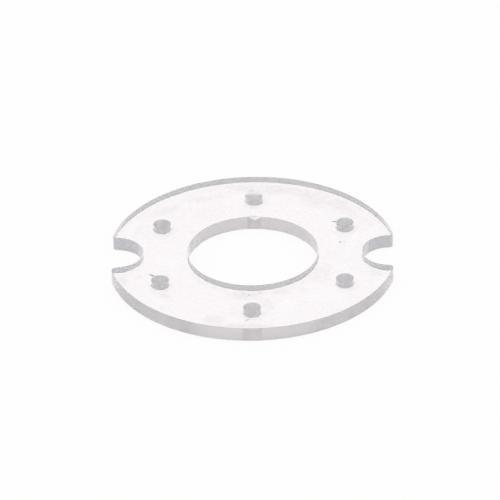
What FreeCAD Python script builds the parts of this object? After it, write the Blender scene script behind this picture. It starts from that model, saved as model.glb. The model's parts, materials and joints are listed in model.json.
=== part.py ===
"""Flat rubber washer, cut in one piece from clear sheet.

A round disc with a large bore, six screw holes evenly spaced on a circle round it,
and two open U notches in the rim, opposite each other, with rounded lips.

Frame: millimetres. The sheet lies flat with its underside on Z = 0, the bore's axis
is +Z, and the two notches lie on the X axis.
"""

import FreeCAD
import Part
import Sketcher
import math
import os

# Driving dimensions: alias, value in millimetres (a plain number for the count), meaning.
DIMENSIONS = (
    ("rim_diameter", 63.5, "outside diameter of the disc"),
    ("sheet_thickness", 3.2, "thickness of the rubber sheet"),
    ("bore_diameter", 28.7, "large hole in the middle"),
    ("screw_hole_diameter", 3.85, "small holes for the screws"),
    ("screw_circle_diameter", 46.7, "circle through the centres of the screw holes"),
    ("screw_hole_count", 6, "screw holes on that circle"),
    ("notch_width", 12.4, "width of each notch, with a full round at its floor"),
    ("notch_floor_distance", 24.1, "from the bore's axis to the floor of a notch"),
    ("lip_radius", 1.0, "round at each corner where a notch opens through the rim"),
)
SHEET = "Dimensions"
WASHER_LABEL = "washer"
PARTS_FOLDER = "parts"
FULL_TURN = 360

# Position numbers that a constraint gives to a point of a line, an arc or a circle.
START, END, CENTRE = 1, 2, 3
# Geometry numbers that a sketch gives to its own origin point and its horizontal axis.
ORIGIN, HORIZONTAL_AXIS = -1, -1


def make_dimensions(doc):
    """The spreadsheet of driving dimensions: a meaning in column A, a value in column B."""
    sheet = doc.addObject("Spreadsheet::Sheet", SHEET)
    for row, (alias, value, meaning) in enumerate(DIMENSIONS, start=1):
        sheet.set(f"A{row}", meaning)
        sheet.set(f"B{row}", str(value))
        sheet.setAlias(f"B{row}", alias)
    doc.recompute()
    return sheet


def origin_feature(body, role):
    """One of the body's own origin planes or axes."""
    return next(f for f in body.Origin.OriginFeatures if f.Role == role)


def new_sketch(body, name):
    """An empty sketch on the underside of the sheet, with X and Y along the frame's own."""
    sketch = body.newObject("Sketcher::SketchObject", name)
    sketch.AttachmentSupport = (origin_feature(body, "XY_Plane"), [""])
    sketch.MapMode = "FlatFace"
    return sketch


def bind(sketch, name, constraint, formula):
    """Adds a named dimension to the sketch and ties it to the driving dimensions."""
    index = sketch.addConstraint(constraint)
    sketch.renameConstraint(index, name)
    sketch.setExpression(f"Constraints.{name}", formula)


def add_circle(sketch, name, centre, diameter, formula):
    """A circle with a driven diameter. Returns its geometry number."""
    direction = FreeCAD.Vector(0, 0, 1)
    circle = sketch.addGeometry(Part.Circle(centre, direction, diameter / 2))
    bind(sketch, name, Sketcher.Constraint("Diameter", circle, diameter), formula)
    return circle


def make_disc(body, sheet):
    """The flat disc with its bore, padded up from the underside by the sheet's thickness."""
    outline = new_sketch(body, "disc_outline")
    middle = FreeCAD.Vector(0, 0, 0)
    for name in ("rim_diameter", "bore_diameter"):
        circle = add_circle(outline, name, middle, sheet.get(name), f"{SHEET}.{name}")
        outline.addConstraint(
            Sketcher.Constraint("Coincident", circle, CENTRE, ORIGIN, START)
        )
    disc = body.newObject("PartDesign::Pad", "disc")
    disc.Profile = outline
    disc.setExpression("Length", f"{SHEET}.sheet_thickness")
    return disc


def cut_through(body, name, profile):
    """A cut through the whole sheet, upwards from the sketch on its underside."""
    cut = body.newObject("PartDesign::Pocket", name)
    cut.Profile = profile
    cut.Type = "ThroughAll"
    cut.Reversed = True
    return cut


def make_screw_holes(body, sheet):
    """One screw hole a quarter turn from the notches, repeated round the bore's axis."""
    outline = new_sketch(body, "screw_hole_outline")
    circle_radius = sheet.get("screw_circle_diameter") / 2
    circle = add_circle(
        outline,
        "screw_hole_diameter",
        FreeCAD.Vector(0, circle_radius, 0),
        sheet.get("screw_hole_diameter"),
        f"{SHEET}.screw_hole_diameter",
    )
    outline.addConstraint(
        Sketcher.Constraint("Vertical", ORIGIN, START, circle, CENTRE)
    )
    bind(
        outline,
        "screw_circle_radius",
        Sketcher.Constraint("DistanceY", ORIGIN, START, circle, CENTRE, circle_radius),
        f"{SHEET}.screw_circle_diameter / 2",
    )
    hole = cut_through(body, "screw_hole", outline)
    holes = body.newObject("PartDesign::PolarPattern", "screw_holes")
    holes.Originals = [hole]
    holes.Axis = (origin_feature(body, "Z_Axis"), [""])
    holes.Angle = FULL_TURN
    holes.setExpression("Occurrences", f"{SHEET}.screw_hole_count")
    body.Tip = holes
    return holes


def lip_geometry(sheet):
    """The plan of one lip, on the +Y side of the notch at +X: the centre of the lip's
    round, the point where it meets the notch's round and the point where it meets the
    rim. It touches the rim from inside and the notch's round from outside."""
    notch_radius = sheet.get("notch_width") / 2
    lip_radius = sheet.get("lip_radius")
    rim_radius = sheet.get("rim_diameter") / 2
    notch_centre = sheet.get("notch_floor_distance") + notch_radius
    from_axis = rim_radius - lip_radius
    from_notch = notch_radius + lip_radius
    x = (from_axis**2 - from_notch**2 + notch_centre**2) / (2 * notch_centre)
    lip_centre = FreeCAD.Vector(x, math.sqrt(from_axis**2 - x**2), 0)
    middle = FreeCAD.Vector(notch_centre, 0, 0)
    at_notch = middle + (lip_centre - middle) * (notch_radius / from_notch)
    at_rim = lip_centre * (rim_radius / from_axis)
    return lip_centre, at_notch, at_rim


def arc_of(centre, radius, start, end):
    """The arc round a centre, anticlockwise from one point to another."""
    circle = Part.Circle(centre, FreeCAD.Vector(0, 0, 1), radius)
    return Part.ArcOfCircle(circle, circle.parameter(start), circle.parameter(end))


def mirrored(point):
    """The same point on the other side of the X axis."""
    return FreeCAD.Vector(point.x, -point.y, point.z)


def draw_lip(sketch, arc, at_rim_end, sheet):
    """Ties one lip's arc to its radius and to the rim: its centre lies on the line from
    the bore's axis to the point where the lip meets the rim."""
    side = "upper" if at_rim_end == END else "lower"
    lip_radius = sheet.get("lip_radius")
    rim_radius = sheet.get("rim_diameter") / 2
    at_rim = sketch.getPoint(arc, at_rim_end)
    spoke = sketch.addGeometry(Part.LineSegment(FreeCAD.Vector(0, 0, 0), at_rim), True)
    for constraint in (
        Sketcher.Constraint("Coincident", spoke, START, ORIGIN, START),
        Sketcher.Constraint("Coincident", spoke, END, arc, at_rim_end),
        Sketcher.Constraint("PointOnObject", arc, CENTRE, spoke),
    ):
        sketch.addConstraint(constraint)
    bind(
        sketch,
        f"{side}_lip_radius",
        Sketcher.Constraint("Radius", arc, lip_radius),
        f"{SHEET}.lip_radius",
    )
    from_axis = rim_radius - lip_radius
    bind(
        sketch,
        f"{side}_lip_from_axis",
        Sketcher.Constraint("Distance", ORIGIN, START, arc, CENTRE, from_axis),
        f"{SHEET}.rim_diameter / 2 - {SHEET}.lip_radius",
    )


def draw_notch(sketch, sheet):
    """The notch's round floor, a lip at each end of it that flows into the rim, and three
    lines that close the outline well outside the rim, so that the mouth is clean."""
    half_width = sheet.get("notch_width") / 2
    centre_x = sheet.get("notch_floor_distance") + half_width
    mouth_x = sheet.get("rim_diameter") / 2 + half_width
    centre = FreeCAD.Vector(centre_x, 0, 0)
    lip_centre, at_notch, at_rim = lip_geometry(sheet)
    lip_radius = sheet.get("lip_radius")
    mouth = FreeCAD.Vector(mouth_x, at_rim.y, 0)

    round_floor = sketch.addGeometry(arc_of(centre, half_width, at_notch, mirrored(at_notch)))
    upper_lip = sketch.addGeometry(arc_of(lip_centre, lip_radius, at_notch, at_rim))
    lower_lip = sketch.addGeometry(
        arc_of(mirrored(lip_centre), lip_radius, mirrored(at_rim), mirrored(at_notch))
    )
    upper_line = sketch.addGeometry(Part.LineSegment(at_rim, mouth))
    mouth_line = sketch.addGeometry(Part.LineSegment(mouth, mirrored(mouth)))
    lower_line = sketch.addGeometry(Part.LineSegment(mirrored(mouth), mirrored(at_rim)))

    for constraint in (
        Sketcher.Constraint("Tangent", round_floor, START, upper_lip, START),
        Sketcher.Constraint("Tangent", round_floor, END, lower_lip, END),
        Sketcher.Constraint("Coincident", upper_lip, END, upper_line, START),
        Sketcher.Constraint("Coincident", upper_line, END, mouth_line, START),
        Sketcher.Constraint("Coincident", mouth_line, END, lower_line, START),
        Sketcher.Constraint("Coincident", lower_line, END, lower_lip, START),
        Sketcher.Constraint("Horizontal", upper_line),
        Sketcher.Constraint("Horizontal", lower_line),
        Sketcher.Constraint("Vertical", mouth_line),
        Sketcher.Constraint("PointOnObject", round_floor, CENTRE, HORIZONTAL_AXIS),
    ):
        sketch.addConstraint(constraint)
    bind(
        sketch,
        "notch_radius",
        Sketcher.Constraint("Radius", round_floor, half_width),
        f"{SHEET}.notch_width / 2",
    )
    bind(
        sketch,
        "round_centre",
        Sketcher.Constraint("DistanceX", ORIGIN, START, round_floor, CENTRE, centre_x),
        f"{SHEET}.notch_floor_distance + {SHEET}.notch_width / 2",
    )
    draw_lip(sketch, upper_lip, END, sheet)
    draw_lip(sketch, lower_lip, START, sheet)
    bind(
        sketch,
        "mouth",
        Sketcher.Constraint("DistanceX", ORIGIN, START, mouth_line, START, mouth_x),
        f"{SHEET}.rim_diameter / 2 + {SHEET}.notch_width / 2",
    )


def make_notches(body, sheet):
    """The notch on the +X side of the rim and its mirror image on the other side."""
    outline = new_sketch(body, "notch_outline")
    draw_notch(outline, sheet)
    notch = cut_through(body, "notch", outline)
    notches = body.newObject("PartDesign::Mirrored", "notches")
    notches.Originals = [notch]
    notches.MirrorPlane = (origin_feature(body, "YZ_Plane"), [""])
    body.Tip = notches
    return notches


def make_washer(doc, sheet):
    """The washer's body: a disc, then its screw holes, then its notches."""
    body = doc.addObject("PartDesign::Body", "Washer")
    body.Label = WASHER_LABEL
    make_disc(body, sheet)
    make_screw_holes(body, sheet)
    make_notches(body, sheet)
    return body


def check(doc, bodies):
    """Stops the build if a sketch is loose, an object failed or a body isn't one solid."""
    for item in doc.Objects:
        if {"Invalid", "Error"} & set(item.State):
            raise RuntimeError(f"{item.Name} did not compute: {item.State}")
        if item.TypeId == "Sketcher::SketchObject" and item.solve() != 0:
            raise RuntimeError(f"{item.Name} has constraints that disagree")
        if item.TypeId == "Sketcher::SketchObject" and not item.FullyConstrained:
            raise RuntimeError(f"{item.Name} is not fully constrained")
    for body in bodies:
        shape = body.Shape
        if shape.isNull() or not shape.isValid() or len(shape.Solids) != 1:
            raise RuntimeError(f"{body.Label} is not one valid solid")


def main():
    doc = FreeCAD.newDocument("RubberWasher")
    sheet = make_dimensions(doc)
    bodies = [make_washer(doc, sheet)]
    doc.recompute()
    check(doc, bodies)
    os.makedirs(PARTS_FOLDER, exist_ok=True)
    for body in bodies:
        body.Shape.exportStep(f"{PARTS_FOLDER}/{body.Label}.step")
        box = body.Shape.BoundBox
        volume = body.Shape.Volume
        print(
            f"{body.Label}: {box.XLength:.2f} x {box.YLength:.2f} x {box.ZLength:.2f} mm,"
            f" {volume:.0f} mm3"
        )


main()
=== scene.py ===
"""The looks of a clear rubber washer that lies flat on a white table.

The washer is one piece of clear sheet. Its mesh is worked out from the frame: the plan
outline is drawn with arcs, the cut walls get a small round at both faces, and a slight
waviness is moved into the faces. The faces are clear, with smears, nicks and specks on
them, and painted shadows round the screw holes on the underside. The cut walls are matt
and keep back some of the light, and the rim's wall has painted shade and painted light
on it. Two white caps on the upper edges of walls are painted highlights. Lengths are in
metres, but those of marks, painted highlights and noises are in millimetres.
"""

import json
import math

import bpy
from mathutils import Matrix, Vector, geometry, noise

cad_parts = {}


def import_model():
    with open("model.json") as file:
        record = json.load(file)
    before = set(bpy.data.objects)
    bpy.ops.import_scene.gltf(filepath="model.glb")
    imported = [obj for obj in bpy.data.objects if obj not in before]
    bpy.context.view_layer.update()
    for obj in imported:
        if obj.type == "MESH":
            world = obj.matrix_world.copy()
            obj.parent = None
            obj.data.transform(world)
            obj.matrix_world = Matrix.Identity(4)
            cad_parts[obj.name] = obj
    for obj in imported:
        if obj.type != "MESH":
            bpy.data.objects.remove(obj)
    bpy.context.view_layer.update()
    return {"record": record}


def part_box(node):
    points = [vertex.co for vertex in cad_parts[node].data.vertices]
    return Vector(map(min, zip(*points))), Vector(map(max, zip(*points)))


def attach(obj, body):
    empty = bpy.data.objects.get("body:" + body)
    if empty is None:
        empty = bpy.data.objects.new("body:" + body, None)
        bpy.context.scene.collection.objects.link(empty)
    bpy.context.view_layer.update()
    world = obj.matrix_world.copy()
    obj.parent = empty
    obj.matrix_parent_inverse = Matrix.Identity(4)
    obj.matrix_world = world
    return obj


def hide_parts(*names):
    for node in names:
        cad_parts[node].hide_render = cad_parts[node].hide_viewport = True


MM = 0.001
FULL_TURN = 2 * math.pi

# The camera, as it stood for the photograph. Azimuth 0 looks along +Y, and the lens and
# the sensor are in millimetres.
CAMERA_AZIMUTH = math.radians(1.127)
CAMERA_ELEVATION = math.radians(31.666)
CAMERA_ROLL = math.radians(1.158)
CAMERA_DISTANCE = 1.563
CAMERA_LENS = 511.56
CAMERA_SENSOR = 36
CAMERA_CLIP_START = 0.1
CAMERA_CLIP_END = 100
# Where the middle of the upper face is seen, right of and below the frame's middle.
CENTRE_RIGHT = 0.5746 * MM
CENTRE_BELOW = 0.2687 * MM

# The notches: their width, their floor's distance from the axis, and the lips' round.
NOTCH_WIDTH = 12.4 * MM
NOTCH_FLOOR = 24.1 * MM
LIP_RADIUS = 1 * MM
NOTCH_RADIUS = NOTCH_WIDTH / 2
NOTCH_CENTRE = NOTCH_FLOOR + NOTCH_RADIUS
# How far the bore and the screw holes are punched off the rim's centre.
PUNCHED_AT = Vector((0.07, 0.24)) * MM

# The mesh: the round at a wall's edges and the flat border beside it on the faces, how
# finely walls, outlines and faces are divided, and how far a face's loose points stay
# from its edges.
EDGE_ROUND = 0.05 * MM
EDGE_STEPS = 3
EDGE_BORDER = 0.1 * MM
WALL_STEPS = 16
OUTLINE_STEP = 0.45 * MM
HOLE_STEP = 0.2 * MM
LIP_STEP = 0.12 * MM
FACE_STEP = 1.1 * MM
FACE_MARGIN = 0.95 * MM
# Points of a face nearer than this, in millimetres, would count as one.
SAME_POINT = 1e-7
# The dips in the faces: how deep and how long they are, and the layer of the noise that
# they follow.
WAVE_HEIGHT = 0.012 * MM
WAVE_LENGTH = 14 * MM
WAVE_LAYER = 0.3
# How strongly the large facets pull the shading of the narrow ones beside them.
LARGE_FACET_PULL = 100

# The materials' numbers on the mesh, in the order in which the washer gets them.
UPPER, UNDER, CUT, NOTCH, HOLE, PAINTED_HIGHLIGHT_CAP = range(6)

# The rubber, and the smooth faces of the sheet.
RUBBER_IOR = 1.46
ABSORPTION_COLOUR = (0, 0.25, 0.3, 1)
ABSORPTION_DENSITY = 1.5
UPPER_TINT = (0.995, 0.957, 0.969)
UNDER_TINT = (1, 0.955, 0.965)
FACE_ROUGHNESS = 0.06

PURE_WHITE = (1, 1, 1, 1)

# The matt walls: their colour, their roughness and the share of the light that goes
# through them. The film on them has an index of its own, a colour for the light that
# meets it from outside and one for the light from inside the rubber.
CUT_WALL = dict(
    colour=(0.905, 0.864, 0.868),
    roughness=0.2,
    passes=0.58,
    film_ior=1.15,
    from_outside=PURE_WHITE,
    from_inside=(0.846, 0.861, 0.876, 1),
)
NOTCH_WALL = dict(
    colour=(0.905, 0.89, 0.925),
    roughness=0.2,
    passes=0.45,
    film_ior=1.15,
    from_outside=PURE_WHITE,
    from_inside=(0.91, 0.925, 0.94, 1),
)
HOLE_WALL = dict(
    colour=(0.97, 0.975, 1),
    roughness=0.12,
    passes=0.15,
    film_ior=1.2,
    from_outside=(0.958, 0.95, 0.946, 1),
    from_inside=PURE_WHITE,
)
# The white of the painted highlights, which lets no light through.
PAINTED_HIGHLIGHT_COLOUR = (0.985, 0.967, 0.967)
PAINTED_HIGHLIGHT_ROUGHNESS = 0.3
PAINTED_HIGHLIGHT_PASSES = 0

# Fine structure: the scales of the noises, per millimetre, and how far each one moves a
# value each way. The ragged one moves places, and the patches break up the smears and
# the roughness of the faces.
PLAIN_DETAIL = 2
FINE_DETAIL = 3
FACE_SPECKLE_SCALE = 1.4
FACE_SPECKLE = 0.13
RAGGED_SCALE = 0.5
RAGGED_REACH = 1.2
PATCH_SCALE = 1.1
SMEAR_PATCHES = 0.5
ROUGHNESS_PATCHES = 0.03
GRAIN_SCALE = 3.2
WALL_GRAIN = 0.12
PAINTED_HIGHLIGHT_GRAIN = 0.05
ROUGHNESS_GRAIN = 0.06
BUMP_SCALE = 1.5
BUMP_HEIGHT = 0.002 * MM

# A mark is full up to the first share of the way from its middle to its edge, and gone
# from the second on.
MARK_FULL = 0.3
MARK_GONE = 1.2

# Marks on the upper face: smears, which get ragged outlines, and nicks. Each has x, y,
# length and width in millimetres, its turn in degrees and the share of the light that it
# takes, which is below 0 where the face is cleaner than the rest.
SMEARS = (
    (-2.6, 26.4, 8, 3.8, 4, 0.11),
    (4.4, 25.6, 9.5, 4.4, -3, 0.14),
    (9.8, 24.8, 8, 4.2, -14, 0.11),
    (13.6, 21.6, 8.4, 7, -50, 0.14),
    (19.2, 18.9, 8.4, 4.6, -45, 0.14),
    (22.2, 14.8, 5, 3.6, -60, 0.09),
    (25.0, 12.2, 4.4, 3.2, -60, 0.07),
    (-19.8, 17.3, 9.5, 3.8, 32, 0.13),
    (-10.8, 22.6, 12, 3.2, 14, 0.09),
    (-10.0, 15.6, 8, 7, 0, 0.04),
    (-24.8, 9.6, 3.4, 4, 0, 0.05),
    (-13.3, 8.2, 1.6, 2.4, 0, 0.1),
    (15.2, -9.4, 9, 5.4, 66, 0.1),
    (-1.4, -18.4, 9, 4.4, 0, 0.14),
    (3.2, -21.8, 7, 3.6, -60, 0.1),
    (6.4, -17.0, 4.6, 3, 20, 0.1),
    (10.8, -16.2, 2.6, 3, 0, 0.06),
    (21.8, -19.0, 2.6, 2.4, 0, 0.06),
    (26.6, -9.6, 4, 2.4, -20, 0.07),
    (-8.2, -28.2, 5.5, 5.4, 30, 0.14),
    (-1.6, -31.0, 16, 3.2, 0, 0.17),
    (-18.9, -18.3, 3, 2.8, 0, 0.16),
    (-28.3, -12.0, 2.6, 4.4, 0, 0.14),
    (-25.2, -10.4, 2.4, 2.2, 0, 0.08),
    (-3.4, -25.5, 3, 6, 20, 0.04),
    (-16.8, 23.6, 16, 2.8, 38, -0.15),
    (-26.6, 10.5, 2.6, 8, -12, -0.1),
    (-18.5, -4.2, 7, 4, -40, -0.1),
    (-21.0, -19.8, 6, 1.6, -50, -0.12),
    (-3.0, 22.4, 2.6, 2.6, 0, -0.14),
    (4.4, 21.4, 6, 1.8, -5, -0.1),
    (15.8, 13.6, 7, 2, -60, -0.12),
    (21.8, 3.4, 11, 2, 76, -0.1),
    (26.8, 8.0, 2.4, 6, -10, -0.12),
    (19.4, -7.0, 6, 2.4, -38, -0.14),
    (16.0, -18.0, 12, 7, 10, -0.09),
    (7.6, -23.0, 6, 5, 60, -0.1),
    (27.8, -14.6, 7, 2, 60, -0.15),
    (-4.0, 12.5, 8, 3, -20, -0.05),
)
NICKS = (
    (18.1, 12.2, 1.9, 0.7, -4, 0.8),
    (-21.9, -9.7, 2.2, 0.9, -42, 0.75),
    (-0.9, -28.3, 1.7, 0.6, 45, 0.5),
    (19.2, 3.5, 0.5, 0.9, 0, 0.75),
    (20.0, 3.5, 2.4, 1.1, 0, 0.12),
    (-0.6, -18.2, 0.5, 0.7, 0, 0.5),
    (1.6, -17.4, 0.4, 0.6, 0, 0.5),
    (2.0, -17.4, 0.4, 0.6, 0, 0.5),
)

# Painted shade and painted light on the rim's cut wall, in the same terms; below 0 is painted light.
RIM_PAINTED_SHADE_AND_LIGHT = (
    (-27.4, -16.0, 16, 8, -60, 0.17),
    (-18.2, -26.0, 9, 8, -35, -0.09),
    (6.8, -31.0, 11, 8, 12, 0.03),
    (18.2, -26.0, 9, 8, 35, -0.12),
    (26.5, -17.5, 12, 8, 56, 0.13),
)
# Painted light on it, seen from inside the rubber: places where the film takes less, with the share of
# the film's darkening that is taken off.
RIM_PAINTED_LIGHT_INSIDE = (
    (-30.5, 8.8, 13, 12, 72, 0.8),
    (30.5, 8.8, 13, 12, -72, 0.7),
)

# A painted shadow on the underside round each screw hole, a soft grey ring: its centre's
# shift from the hole's and its width, in millimetres, and the share of the light that it takes.
HOLE_SHADOW_SHIFT = (0.45, -0.35)
HOLE_SHADOW_WIDTH = 6.2
HOLE_SHADOW_SHADE = 0.16

# Painted highlights: white caps at the upper edge of a wall, with the edge cut back under
# them, one at the back screw hole and one at the bore, in millimetres: x, y, reach each
# way, height and how far the edge goes back at the face.
PAINTED_HIGHLIGHT_PLACES = (
    (0.12, 25.5, 2.5, 0.95, 0.5),
    (0.2, 14.6, 1.3, 0.68, 0.3),
)

# The table and the light. The camera sees the table as white, apart from the share that
# shows its shading and with it the washer's shadow.
BACKDROP_WHITE = (1, 0.991, 0.991, 1)
TABLE_SIZE = 30
TABLE_GAP = 0.05 * MM
TABLE_COLOUR = (0.95, 0.941, 0.941, 1)
TABLE_SHADOW_SHARE = 0.1
SKY_LEVEL = 0.86
LAMP_SIZE = 0.9
LAMP_HEIGHT = 1.1
LAMP_POWER = 2.9
# How often light may go on within the clear rubber.
LIGHT_BOUNCES = 32


def read_sizes(frame):
    """The washer's sizes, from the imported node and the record's mounts."""
    low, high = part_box("washer")
    mounts = {mount["name"]: mount for mount in frame["record"]["mounts"]}
    holes = mounts["screw_holes"]["dims"]
    return {
        "rim": (high.y - low.y) / 2,
        "low": low.z,
        "thickness": high.z - low.z,
        "bore": mounts["bore"]["dims"]["r_mm"] * MM,
        "hole": holes["hole_r_mm"] * MM,
        "hole_circle": holes["pcd_mm"] * MM / 2,
        "hole_count": holes["count"],
    }


def arc(centre, radius, start, end, step):
    """Points on an arc from start to end, in radians, without the last one."""
    count = math.ceil(abs(end - start) * radius / step)
    angles = [start + (end - start) * i / count for i in range(count)]
    return [
        Vector((centre[0] + radius * math.cos(a), centre[1] + radius * math.sin(a)))
        for a in angles
    ]


def lip_centre(size):
    """The centre of the upper right lip's round, which touches the rim from inside and the
    notch's round from outside."""
    from_axis = size["rim"] - LIP_RADIUS
    from_notch = NOTCH_RADIUS + LIP_RADIUS
    x = (from_axis**2 - from_notch**2 + NOTCH_CENTRE**2) / (2 * NOTCH_CENTRE)
    return Vector((x, math.sqrt(from_axis**2 - x**2)))


def half_outline(size):
    """The outline from the middle of the right notch's floor to that of the left one's,
    anticlockwise: the notch's round and its lip, the rim, and the other lip and notch."""
    lip = lip_centre(size)
    at_rim = math.atan2(lip.y, lip.x)
    at_notch = math.atan2(lip.y, lip.x - NOTCH_CENTRE)
    return [
        *arc((NOTCH_CENTRE, 0), NOTCH_RADIUS, math.pi, at_notch, OUTLINE_STEP),
        *arc(lip, LIP_RADIUS, at_notch - math.pi, at_rim, LIP_STEP),
        *arc((0, 0), size["rim"], at_rim, math.pi - at_rim, OUTLINE_STEP),
        *arc((-lip.x, lip.y), LIP_RADIUS, math.pi - at_rim, FULL_TURN - at_notch, LIP_STEP),
        *arc((-NOTCH_CENTRE, 0), NOTCH_RADIUS, math.pi - at_notch, 0, OUTLINE_STEP),
    ]


def hole_centres(size):
    """The centres of the screw holes, anticlockwise from the back one."""
    count = size["hole_count"]
    turns = [math.pi / 2 + i * FULL_TURN / count for i in range(count)]
    return [PUNCHED_AT + size["hole_circle"] * Vector((math.cos(t), math.sin(t))) for t in turns]


def outlines(size):
    """Every closed loop of the plan: the outer one anticlockwise, the bore and the screw
    holes clockwise, so that the rubber is always on the left."""
    upper = half_outline(size)
    lower = [Vector((-p.x, -p.y)) for p in upper]
    loops = [upper + lower]
    loops.append(arc(PUNCHED_AT, size["bore"], FULL_TURN, 0, OUTLINE_STEP))
    for centre in hole_centres(size):
        loops.append(arc(centre, size["hole"], FULL_TURN, 0, HOLE_STEP))
    return loops


def inward(loop):
    """For each point of a loop, the step into the rubber that keeps a unit distance."""
    steps = []
    for i, point in enumerate(loop):
        before = (point - loop[i - 1]).normalized()
        after = (loop[(i + 1) % len(loop)] - point).normalized()
        along = (before + after).normalized()
        across = Vector((-along.y, along.x))
        steps.append(across / across.dot(Vector((-before.y, before.x))))
    return steps


def levels(size):
    """Rows of a wall from the underside to the upper face: height and set-back. The first
    and the last are the flat border of each face, which keeps its reflections even."""
    turns = [math.pi / 2 * i / EDGE_STEPS for i in range(EDGE_STEPS + 1)]
    edge = [(EDGE_ROUND * (1 - math.cos(t)), EDGE_ROUND * (1 - math.sin(t))) for t in turns]
    straight = size["thickness"] - 2 * EDGE_ROUND
    middle = [(EDGE_ROUND + straight * i / WALL_STEPS, 0) for i in range(1, WALL_STEPS)]
    upper = [(size["thickness"] - height, set_back) for height, set_back in reversed(edge)]
    border = EDGE_ROUND + EDGE_BORDER
    return [(0, border), *edge, *middle, *upper, (size["thickness"], border)]


def is_rubber(point, size, margin):
    """True where the plan has rubber, at least margin from every edge."""
    if point.length > size["rim"] - margin:
        return False
    if (point - PUNCHED_AT).length < size["bore"] + margin:
        return False
    quarter = Vector((abs(point.x), abs(point.y)))
    if (quarter - Vector((NOTCH_CENTRE, 0))).length < NOTCH_RADIUS + margin:
        return False
    lip = lip_centre(size)
    beyond_lip = quarter.x > lip.x and quarter.y < lip.y * quarter.x / lip.x
    if beyond_lip and (quarter - lip).length > LIP_RADIUS - margin:
        return False
    return all((point - centre).length > size["hole"] + margin for centre in hole_centres(size))


def face_points(size):
    """A loose triangular grid of points over the plan, clear of its edges."""
    row_step = FACE_STEP * math.sqrt(3) / 2
    rows = int(size["rim"] / row_step) + 1
    columns = int(size["rim"] / FACE_STEP) + 1
    points = []
    for row in range(-rows, rows + 1):
        for column in range(-columns, columns + 1):
            point = Vector(((column + 0.5 * (row % 2)) * FACE_STEP, row * row_step))
            if is_rubber(point, size, FACE_MARGIN):
                points.append(point)
    return points


def face_triangles(rings, loose, size):
    """Triangles over one face between the rings of its edges, as numbers into the rings'
    points followed by the loose ones."""
    points = [p for ring in rings for p in ring] + loose
    edges = []
    first = 0
    for ring in rings:
        edges += [(first + i, first + (i + 1) % len(ring)) for i in range(len(ring))]
        first += len(ring)
    made = geometry.delaunay_2d_cdt([p / MM for p in points], edges, [], 0, SAME_POINT)
    cells, sources = made[2], made[3]
    triangles = []
    for corners in cells:
        numbers = [sources[c][0] for c in corners]
        middle = sum((points[n] for n in numbers), Vector((0, 0))) / 3
        if is_rubber(middle, size, EDGE_ROUND / 2):
            triangles.append(numbers)
    return triangles


def wave(point):
    """How far the sheet's face dips at a place of the plan, in metres."""
    place = Vector((point.x / WAVE_LENGTH, point.y / WAVE_LENGTH, WAVE_LAYER))
    return WAVE_HEIGHT * (1 + noise.noise(place)) / 2


def highlight_cap_at(point):
    """The height of a painted highlight's white cap at a point of a wall and how far the edge goes
    back under it, or zeros.
    """
    for x, y, reach, height, set_back in PAINTED_HIGHLIGHT_PLACES:
        away = (point / MM - Vector((x, y))).length / reach
        if away < 1:
            share = 1 - away**2
            return height * MM * share, set_back * MM * share
    return 0, 0


def wall_kind(loop_number, point, depth):
    """The material's number for a wall's face at a point of a loop, at a depth below the
    upper face. Loop 0 is the rim with its notches and lips, and loop 1 is the bore."""
    # Painted highlight: a white cap at the top of the wall.
    if depth < highlight_cap_at(point)[0]:
        return PAINTED_HIGHLIGHT_CAP
    if loop_number == 0 and abs(point.y) < NOTCH_RADIUS + 2 * LIP_RADIUS:
        return NOTCH
    return CUT if loop_number < 2 else HOLE


def row_points(loop, steps, height, set_back, size):
    """A loop's points on one row of its wall, set back further under a painted highlight."""
    depth = size["thickness"] - height
    points = []
    for point, step in zip(loop, steps):
        # Under a painted highlight the edge is cut back.
        cap_height, cap_depth = highlight_cap_at(point)
        cut_back = cap_depth * (1 - depth / cap_height) if depth < cap_height else 0
        place = point + step * (set_back + cut_back)
        points.append(Vector((place.x, place.y, height)))
    return points


def wall_faces(loops, rows, size):
    """The faces between each row of points and the next one up, and their materials'
    numbers. The lowest and the highest are the flat borders of the underside and of the
    upper face."""
    per_row = sum(len(loop) for loop in loops)
    borders = {0: UNDER, len(rows) - 2: UPPER}
    faces = []
    kinds = []
    for row in range(len(rows) - 1):
        depth = size["thickness"] - rows[row + 1][0]
        first = row * per_row
        for number, loop in enumerate(loops):
            for i, point in enumerate(loop):
                low = first + i
                beside = first + (i + 1) % len(loop)
                faces.append((low, beside, beside + per_row, low + per_row))
                kinds.append(borders.get(row, wall_kind(number, point, depth)))
            first += len(loop)
    return faces, kinds


def make_mesh(size):
    """The whole washer as one closed mesh: the walls, then the flat parts of the underside
    and of the upper face, which both dip inwards a little."""
    loops = outlines(size)
    steps = [inward(loop) for loop in loops]
    rows = levels(size)
    vertices = []
    for height, set_back in rows:
        for loop, loop_steps in zip(loops, steps):
            vertices += row_points(loop, loop_steps, height, set_back, size)
    faces, kinds = wall_faces(loops, rows, size)

    border = rows[0][1]
    rings = [[p + s * border for p, s in zip(loop, step)] for loop, step in zip(loops, steps)]
    per_row = sum(len(ring) for ring in rings)
    loose = face_points(size)
    triangles = face_triangles(rings, loose, size)
    for row, kind in ((0, UNDER), (len(rows) - 1, UPPER)):
        to_ring = row * per_row
        to_loose = len(vertices) - per_row
        vertices += [Vector((p.x, p.y, rows[row][0])) for p in loose]
        for corners in triangles:
            numbers = [n + (to_ring if n < per_row else to_loose) for n in corners]
            faces.append(numbers if kind == UPPER else numbers[::-1])
            kinds.append(kind)

    for v in vertices:
        v.z += size["low"] + wave(v) * (1 - 2 * v.z / size["thickness"])
    mesh = bpy.data.meshes.new("washer_body")
    mesh.from_pydata(vertices, [], faces)
    mesh.polygons.foreach_set("material_index", kinds)
    mesh.polygons.foreach_set("use_smooth", [True] * len(faces))
    mesh.update()
    return mesh


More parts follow.
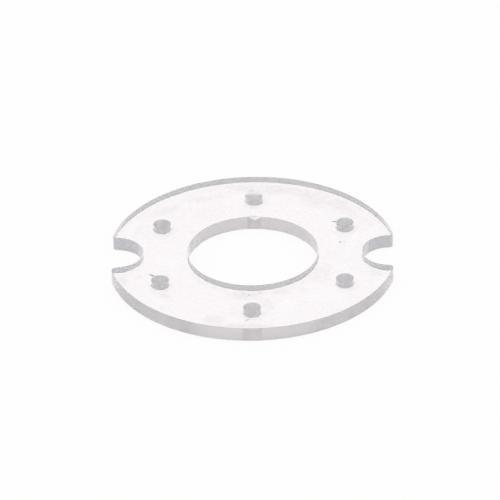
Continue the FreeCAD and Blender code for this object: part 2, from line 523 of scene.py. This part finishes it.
def new_material(name):
    """A material with an empty node tree and its output."""
    material = bpy.data.materials.new(name)
    material.use_nodes = True
    material.node_tree.nodes.clear()
    return material, material.node_tree.nodes.new("ShaderNodeOutputMaterial")


def feed(tree, socket, value):
    """Gives a socket its value, or links it to another node's output."""
    if isinstance(value, bpy.types.NodeSocket):
        tree.links.new(value, socket)
    else:
        socket.default_value = value


def calculate(tree, operation, first, second):
    """A sum, product or other operation on two values."""
    node = tree.nodes.new("ShaderNodeMath")
    node.operation = operation
    feed(tree, node.inputs[0], first)
    feed(tree, node.inputs[1], second)
    return node.outputs[0]


def combine(tree, operation, *vectors):
    """A sum, product or other operation on vectors."""
    node = tree.nodes.new("ShaderNodeVectorMath")
    node.operation = operation
    for socket, vector in zip(node.inputs, vectors):
        feed(tree, socket, vector)
    return node.outputs[0]


def scaled(tree, vector, factor):
    """A vector or colour times a factor."""
    node = tree.nodes.new("ShaderNodeVectorMath")
    node.operation = "SCALE"
    feed(tree, node.inputs[0], vector)
    feed(tree, node.inputs["Scale"], factor)
    return node.outputs[0]


def mixed_colours(tree, share, first, second):
    """A colour at a share of the way from the first to the second."""
    node = tree.nodes.new("ShaderNodeMix")
    node.data_type = "RGBA"
    sockets = {socket.identifier: socket for socket in (*node.inputs, *node.outputs)}
    feed(tree, sockets["Factor_Float"], share)
    feed(tree, sockets["A_Color"], first)
    feed(tree, sockets["B_Color"], second)
    return sockets["Result_Color"]


def show_mixed(tree, share, first, second, output):
    """Links a mix of two shaders to the output, at a share of the way to the second."""
    mix = tree.nodes.new("ShaderNodeMixShader")
    tree.links.new(share, mix.inputs[0])
    tree.links.new(first.outputs[0], mix.inputs[1])
    tree.links.new(second.outputs[0], mix.inputs[2])
    tree.links.new(mix.outputs[0], output.inputs["Surface"])


def place_in_mm(tree):
    """The place on the washer, in millimetres."""
    coordinates = tree.nodes.new("ShaderNodeTexCoord")
    return scaled(tree, coordinates.outputs["Object"], 1 / MM)


def cloud(tree, place, scale, detail=PLAIN_DETAIL):
    """A noise texture over the place, scale per millimetre."""
    texture = tree.nodes.new("ShaderNodeTexNoise")
    texture.inputs["Scale"].default_value = scale
    texture.inputs["Detail"].default_value = detail
    tree.links.new(place, texture.inputs["Vector"])
    return texture


def swing(tree, value, reach):
    """A noise value, which lies round a half, as a swing each way round 0."""
    return calculate(tree, "MULTIPLY", calculate(tree, "SUBTRACT", value, 0.5), 2 * reach)


def ragged(tree, place):
    """The place pushed about sideways, which gives the smears ragged outlines."""
    push = cloud(tree, place, RAGGED_SCALE, FINE_DETAIL).outputs["Color"]
    pushed = combine(tree, "MULTIPLY_ADD", push, (2 * RAGGED_REACH, 2 * RAGGED_REACH, 0), place)
    return combine(tree, "SUBTRACT", pushed, (RAGGED_REACH, RAGGED_REACH, 0))


def shade_of(tree, marks, place):
    """The share of the light that a list of marks takes at a place. Each mark is an oval
    that fades out towards its edge."""
    flat = combine(tree, "MULTIPLY", place, (1, 1, 0))
    total = 0.0
    for x, y, length, width, turn, shade in marks:
        oval = tree.nodes.new("ShaderNodeMapping")
        oval.vector_type = "TEXTURE"
        oval.inputs["Location"].default_value = (x, y, 0)
        oval.inputs["Rotation"].default_value = (0, 0, math.radians(turn))
        oval.inputs["Scale"].default_value = (length / 2, width / 2, 1)
        tree.links.new(flat, oval.inputs["Vector"])
        away = tree.nodes.new("ShaderNodeVectorMath")
        away.operation = "LENGTH"
        tree.links.new(oval.outputs[0], away.inputs[0])
        fade = tree.nodes.new("ShaderNodeMapRange")
        fade.interpolation_type = "SMOOTHSTEP"
        fade.inputs["From Min"].default_value = MARK_FULL
        fade.inputs["From Max"].default_value = MARK_GONE
        fade.inputs["To Min"].default_value = shade
        fade.inputs["To Max"].default_value = 0
        tree.links.new(away.outputs["Value"], fade.inputs["Value"])
        total = calculate(tree, "ADD", total, fade.outputs["Result"])
    return total


def add_bump(tree, place, surface):
    """Shallow unevenness of a surface."""
    bump = tree.nodes.new("ShaderNodeBump")
    bump.inputs["Distance"].default_value = BUMP_HEIGHT
    tree.links.new(cloud(tree, place, BUMP_SCALE).outputs[0], bump.inputs["Height"])
    tree.links.new(bump.outputs[0], surface.inputs["Normal"])


def add_grain(tree, place, surface, colour, reach, roughness, shade=0.0):
    """A fine grain in a surface's colour and roughness, and its bump. The grain moves the
    brightness by reach each way, and shade is the share that marks take off it."""
    grain = cloud(tree, place, GRAIN_SCALE).outputs[0]
    brightness = calculate(tree, "ADD", swing(tree, grain, reach), 1.0)
    brightness = calculate(tree, "SUBTRACT", brightness, shade)
    tree.links.new(scaled(tree, colour, brightness), surface.inputs["Base Color"])
    uneven = calculate(tree, "ADD", swing(tree, grain, ROUGHNESS_GRAIN), roughness)
    tree.links.new(uneven, surface.inputs["Roughness"])
    add_bump(tree, place, surface)


def new_rubber(name, passes):
    """A clear rubber surface, linked to its output: what it lets pass is bent as it
    enters, and the rest is scattered."""
    material, output = new_material(name)
    tree = material.node_tree
    surface = tree.nodes.new("ShaderNodeBsdfPrincipled")
    surface.inputs["IOR"].default_value = RUBBER_IOR
    surface.inputs["Transmission Weight"].default_value = passes
    inside = tree.nodes.new("ShaderNodeVolumeAbsorption")
    inside.inputs["Color"].default_value = ABSORPTION_COLOUR
    inside.inputs["Density"].default_value = ABSORPTION_DENSITY
    tree.links.new(surface.outputs[0], output.inputs["Surface"])
    tree.links.new(inside.outputs[0], output.inputs["Volume"])
    return material, tree, surface


def moulded_face(name, tint, smears, marks):
    """A smooth face of the sheet, with ragged smears and sharp marks on it."""
    material, tree, surface = new_rubber(name, passes=1)
    place = place_in_mm(tree)
    patches = cloud(tree, place, PATCH_SCALE).outputs[0]
    broken = calculate(tree, "ADD", swing(tree, patches, SMEAR_PATCHES), 1.0)
    dull = calculate(tree, "MULTIPLY", shade_of(tree, smears, ragged(tree, place)), broken)
    speckle = cloud(tree, place, FACE_SPECKLE_SCALE, FINE_DETAIL).outputs[0]
    shade = calculate(tree, "ADD", shade_of(tree, marks, place), swing(tree, speckle, FACE_SPECKLE))
    shade = calculate(tree, "ADD", shade, dull)
    clear = calculate(tree, "SUBTRACT", 1.0, shade)
    tree.links.new(scaled(tree, tint, clear), surface.inputs["Base Color"])
    uneven = calculate(tree, "ADD", swing(tree, patches, ROUGHNESS_PATCHES), FACE_ROUGHNESS)
    tree.links.new(uneven, surface.inputs["Roughness"])
    add_bump(tree, place, surface)
    return material


def matt_wall(name, look, marks=(), painted_light_inside=()):
    """A cut wall: finely grained and matt, with a film that takes some of the light that
    meets it. Marks put painted shade and painted light on it, and where light is painted
    from inside, the film takes less of the light from inside."""
    material, tree, surface = new_rubber(name, look["passes"])
    place = place_in_mm(tree)
    # Painted shade and painted light from the marks.
    shade = shade_of(tree, marks, place)
    add_grain(tree, place, surface, look["colour"], WALL_GRAIN, look["roughness"], shade)
    # Painted light on the inside of the film.
    lighter_inside = shade_of(tree, painted_light_inside, place)
    from_inside = mixed_colours(tree, lighter_inside, look["from_inside"], PURE_WHITE)
    is_inside = tree.nodes.new("ShaderNodeNewGeometry").outputs["Backfacing"]
    film = mixed_colours(tree, is_inside, look["from_outside"], from_inside)
    tree.links.new(film, surface.inputs["Coat Tint"])
    surface.inputs["Coat Weight"].default_value = 1
    surface.inputs["Coat IOR"].default_value = look["film_ior"]
    surface.inputs["Coat Roughness"].default_value = look["roughness"]
    return material


def painted_highlight_edge():
    """White that lets no light through, painted as a highlight on the upper edge of a wall."""
    material, tree, surface = new_rubber("painted_highlight_edge", PAINTED_HIGHLIGHT_PASSES)
    place = place_in_mm(tree)
    add_grain(tree, place, surface, PAINTED_HIGHLIGHT_COLOUR, PAINTED_HIGHLIGHT_GRAIN, PAINTED_HIGHLIGHT_ROUGHNESS)
    return material


def painted_hole_shadows(size):
    """The painted shadows on the underside round the screw holes, soft rings, as marks in millimetres.
    """
    places = [centre / MM + Vector(HOLE_SHADOW_SHIFT) for centre in hole_centres(size)]
    return [(place.x, place.y, HOLE_SHADOW_WIDTH, HOLE_SHADOW_WIDTH, 0, HOLE_SHADOW_SHADE) for place in places]


def make_washer(size):
    """The washer's own piece, with its materials."""
    mesh = make_mesh(size)
    for material in (
        moulded_face("upper_face", UPPER_TINT, SMEARS, NICKS),
        # The underside gets painted shadows round the screw holes.
        moulded_face("under_face", UNDER_TINT, (), painted_hole_shadows(size)),
        # The rim's wall gets painted shade and painted light.
        matt_wall("cut_wall", CUT_WALL, RIM_PAINTED_SHADE_AND_LIGHT, RIM_PAINTED_LIGHT_INSIDE),
        matt_wall("notch_wall", NOTCH_WALL),
        matt_wall("hole_wall", HOLE_WALL),
        # The white of the painted highlights.
        painted_highlight_edge(),
    ):
        mesh.materials.append(material)
    piece = bpy.data.objects.new("washer_body", mesh)
    bpy.context.scene.collection.objects.link(piece)
    normals = piece.modifiers.new("even_normals", "WEIGHTED_NORMAL")
    normals.mode = "FACE_AREA_WITH_ANGLE"
    normals.weight = LARGE_FACET_PULL
    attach(piece, "root")
    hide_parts("washer")


def make_table(size):
    """A wide white table just under the washer. It keeps the washer's shadow."""
    material, output = new_material("white_table")
    tree = material.node_tree
    plain = tree.nodes.new("ShaderNodeBsdfDiffuse")
    plain.inputs["Color"].default_value = TABLE_COLOUR
    white = tree.nodes.new("ShaderNodeEmission")
    white.inputs["Color"].default_value = BACKDROP_WHITE
    path = tree.nodes.new("ShaderNodeLightPath")
    seen = calculate(tree, "MULTIPLY", path.outputs["Is Camera Ray"], 1 - TABLE_SHADOW_SHARE)
    for name in ("Is Glossy Ray", "Is Transmission Ray"):
        seen = calculate(tree, "MAXIMUM", seen, path.outputs[name])
    show_mixed(tree, seen, plain, white, output)

    half = TABLE_SIZE / 2
    height = size["low"] - TABLE_GAP
    corners = [(x, y, height) for x, y in ((-half, -half), (half, -half), (half, half), (-half, half))]
    mesh = bpy.data.meshes.new("table")
    mesh.from_pydata(corners, [], [(0, 1, 2, 3)])
    mesh.materials.append(material)
    table = bpy.data.objects.new("table", mesh)
    bpy.context.scene.collection.objects.link(table)


def make_surround():
    """An even grey surround that the camera sees as white."""
    world = bpy.data.worlds.new("surround")
    bpy.context.scene.world = world
    world.use_nodes = True
    tree = world.node_tree
    tree.nodes.clear()
    output = tree.nodes.new("ShaderNodeOutputWorld")
    plain = tree.nodes.new("ShaderNodeBackground")
    plain.inputs["Color"].default_value = PURE_WHITE
    plain.inputs["Strength"].default_value = SKY_LEVEL
    white = tree.nodes.new("ShaderNodeBackground")
    white.inputs["Color"].default_value = BACKDROP_WHITE
    path = tree.nodes.new("ShaderNodeLightPath")
    show_mixed(tree, path.outputs["Is Camera Ray"], plain, white, output)


def make_lamp():
    """One wide lamp overhead, without a mirror image in the washer."""
    lamp = bpy.data.lights.new("overhead", "AREA")
    lamp.shape = "SQUARE"
    lamp.size = LAMP_SIZE
    lamp.energy = LAMP_POWER
    holder = bpy.data.objects.new("overhead", lamp)
    holder.location = (0, 0, LAMP_HEIGHT)
    holder.visible_glossy = False
    bpy.context.scene.collection.objects.link(holder)


def make_camera(size):
    """The photograph's camera."""
    target = Vector((0, 0, size["low"] + size["thickness"]))
    away = Vector(
        (
            math.sin(CAMERA_AZIMUTH) * math.cos(CAMERA_ELEVATION),
            -math.cos(CAMERA_AZIMUTH) * math.cos(CAMERA_ELEVATION),
            math.sin(CAMERA_ELEVATION),
        )
    )
    turn = away.to_track_quat("Z", "Y").to_matrix()
    turn = turn @ Matrix.Rotation(-CAMERA_ROLL, 3, "Z")
    aim = target - turn.col[0] * CENTRE_RIGHT + turn.col[1] * CENTRE_BELOW
    data = bpy.data.cameras.new("camera")
    data.sensor_width = CAMERA_SENSOR
    data.lens = CAMERA_LENS
    data.clip_start = CAMERA_CLIP_START
    data.clip_end = CAMERA_CLIP_END
    camera = bpy.data.objects.new("camera", data)
    place = turn.to_4x4()
    place.translation = aim + away * CAMERA_DISTANCE
    camera.matrix_world = place
    bpy.context.scene.collection.objects.link(camera)
    bpy.context.scene.camera = camera


def main():
    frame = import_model()
    scene = bpy.context.scene
    scene.view_settings.view_transform = "Standard"
    scene.cycles.max_bounces = LIGHT_BOUNCES
    scene.cycles.glossy_bounces = LIGHT_BOUNCES
    scene.cycles.transmission_bounces = LIGHT_BOUNCES
    size = read_sizes(frame)
    make_washer(size)
    make_table(size)
    make_surround()
    make_lamp()
    make_camera(size)


main()
